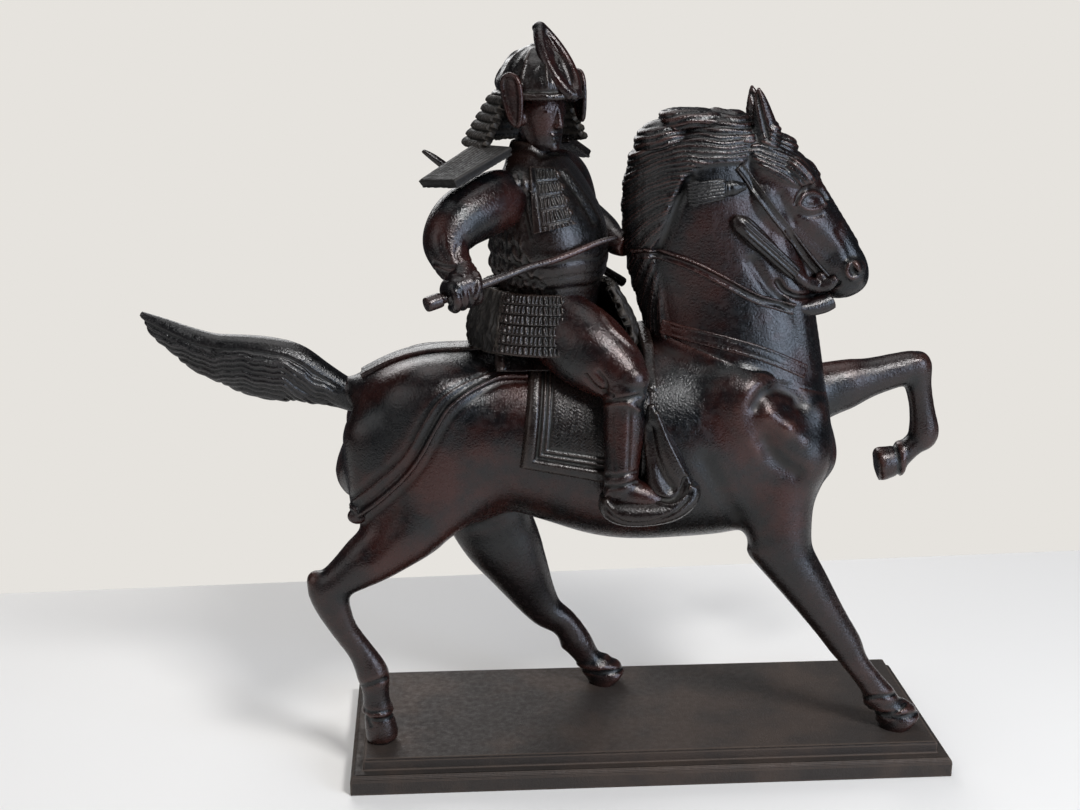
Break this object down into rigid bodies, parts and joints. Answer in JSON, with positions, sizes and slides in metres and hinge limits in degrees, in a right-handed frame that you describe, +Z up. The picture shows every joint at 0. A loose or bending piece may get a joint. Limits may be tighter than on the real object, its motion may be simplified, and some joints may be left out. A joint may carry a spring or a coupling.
{
  "type": "bronze horse statue",
  "caption": "Dark bronze statuette of an armoured rider on a stepping horse, fixed to a stepped rectangular plinth, with a whip that slides out of the rider's fist.",
  "frame": {"origin": "on the floor under the middle of the whole statuette's box", "axes": "+X the way the horse faces, +Y the horse's left side, +Z up"},
  "size_m": [0.3368, 0.1088, 0.3057],
  "materials": {
    "bronze": "satin, near-black patina",
    "worn_bronze": "satin, red-brown where the patina is rubbed",
    "plinth_bronze": "matt, dusty grey-brown patina",
    "steel": "plain"
  },
  "bodies": {
    "statue": {"plinth": "plinth_bronze", "hoof_studs": "steel", "hoof_washers": "steel", "hoof_nuts": "steel", "horse_trunk": "worn_bronze", "horse_neck_and_head": "bronze", "right_foreleg": "bronze", "left_foreleg": "bronze", "right_hind_leg": "bronze", "left_hind_leg": "bronze", "tail": "bronze", "headstall": "bronze", "bit_ends": "worn_bronze", "neck_tassels": "bronze", "cheek_tassels": "bronze", "right_rein": "bronze", "left_rein": "bronze", "breast_collar": "bronze", "crupper": "bronze", "right_breeching": "bronze", "left_breeching": "bronze", "saddle_tree": "bronze", "right_saddle_skirt": "bronze", "left_saddle_skirt": "bronze", "right_stirrup": "bronze", "left_stirrup": "bronze", "rider_stud": "steel", "rider_body": "bronze", "right_leg": "worn_bronze", "left_leg": "worn_bronze", "right_arm": "worn_bronze", "left_arm": "worn_bronze", "right_hand": "worn_bronze", "right_tasset": "bronze", "left_tasset": "bronze", "rear_tasset": "bronze", "front_tasset": "bronze", "chest_tab": "bronze", "right_shoulder_guard": "bronze", "left_shoulder_guard": "bronze", "rider_head": "worn_bronze", "helmet_bowl": "bronze", "neck_guard": "bronze", "helmet_wings": "bronze", "helmet_crest": "bronze", "sword": "bronze"},
    "whip": {"riding_whip": "bronze"}
  },
  "joints": [
    {"name": "whip_slide", "type": "slide", "parent": "statue", "child": "whip", "axis": [-0.8818, -0.4166, -0.221], "range_m": [0, 0.06]}
  ]
}
